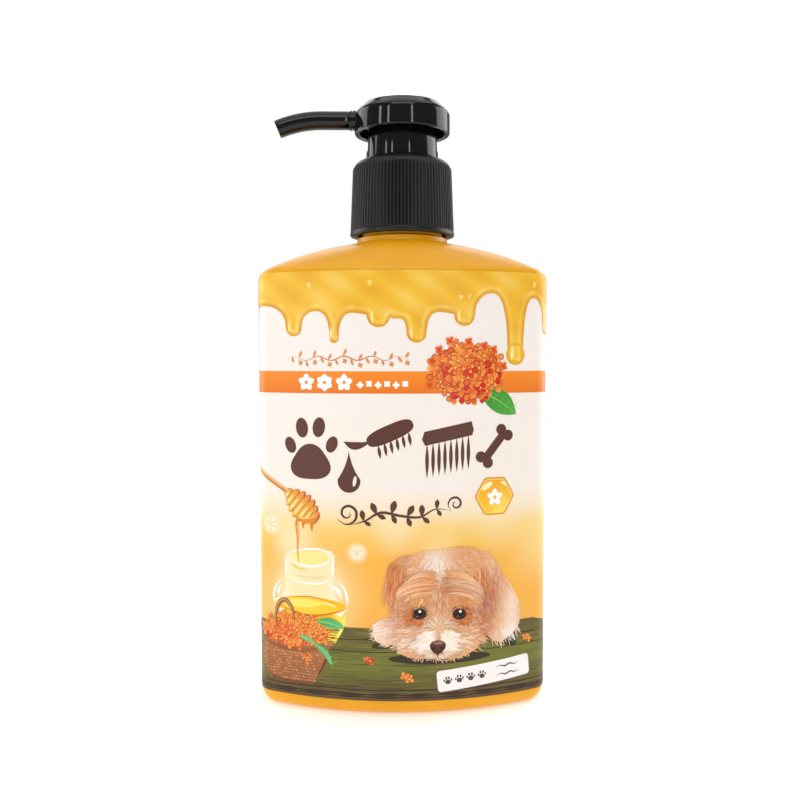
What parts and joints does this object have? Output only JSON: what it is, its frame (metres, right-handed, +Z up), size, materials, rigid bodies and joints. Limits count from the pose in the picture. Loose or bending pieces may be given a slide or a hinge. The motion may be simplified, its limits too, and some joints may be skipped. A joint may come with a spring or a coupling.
{
  "type": "pump shampoo bottle",
  "caption": "Flattened pump bottle with a printed sleeve, ribbed screw closure, guide collar and a lock-up lotion pump whose head presses down and swivels.",
  "frame": {"origin": "centre of the base, on the surface it stands on", "axes": "+Z up along the pump's axis, +X to the right of the front face (the nozzle points to -X), +Y away from the front face"},
  "size_m": [0.0784, 0.0424, 0.165],
  "materials": {
    "bottle_plastic": "gloss",
    "printed_film": "satin print",
    "ribbed_black": "satin",
    "gloss_black": "polished",
    "silver_cap": "mirror",
    "natural_plastic": "natural, slightly translucent",
    "foam": "foamed",
    "spring_steel": "drawn wire",
    "ball_steel": "polished"
  },
  "bodies": {
    "bottle_body": {"bottle": "bottle_plastic", "label_sleeve": "printed_film"},
    "gasket_body": {"neck_gasket": "foam"},
    "pump_body": {"pump_housing": "natural_plastic", "guide_collar": "gloss_black", "dip_tube": "natural_plastic", "ball_cage": "natural_plastic", "return_spring": "spring_steel"},
    "closure_body": {"closure": "ribbed_black"},
    "piston_body": {"piston": "natural_plastic"},
    "head_body": {"actuator_head": "gloss_black", "nozzle": "gloss_black", "head_cap": "silver_cap", "stem": "natural_plastic", "piston_retainer": "natural_plastic"},
    "inlet_ball_body": {"inlet_ball": "ball_steel"},
    "outlet_ball_body": {"outlet_ball": "ball_steel"}
  },
  "joints": [
    {"name": "pump_lift", "type": "slide", "parent": "bottle_body", "child": "gasket_body", "axis": [0, 0, 1], "range_m": [0, 0.142]},
    {"name": "thread_rise", "type": "slide", "parent": "gasket_body", "child": "pump_body", "axis": [0, 0, 1], "range_m": [0, 0.00476]},
    {"name": "closure_turn", "type": "hinge", "parent": "pump_body", "child": "closure_body", "pos_m": [0, 0, 0.137], "axis": [0, 0, 1], "range_deg": [0, 540]},
    {"name": "pump_stroke", "type": "slide", "parent": "pump_body", "child": "piston_body", "axis": [0, 0, 1], "range_m": [-0.006, 0], "stiffness_N_per_m": 700, "springref_m": 0.008, "deforming": ["return_spring"]},
    {"name": "head_swivel", "type": "hinge", "parent": "piston_body", "child": "head_body", "pos_m": [0, 0, 0.155], "axis": [0, 0, 1], "range_deg": [0, 180]},
    {"name": "inlet_ball_lift", "type": "slide", "parent": "pump_body", "child": "inlet_ball_body", "axis": [0, 0, 1], "range_m": [0, 0.0012]},
    {"name": "outlet_ball_lift", "type": "slide", "parent": "head_body", "child": "outlet_ball_body", "axis": [0, 0, 1], "range_m": [0, 0.0012]}
  ],
  "couplings": [
    {"joint": "closure_turn", "follows": "thread_rise", "rad_per_m": 1978.9}
  ]
}
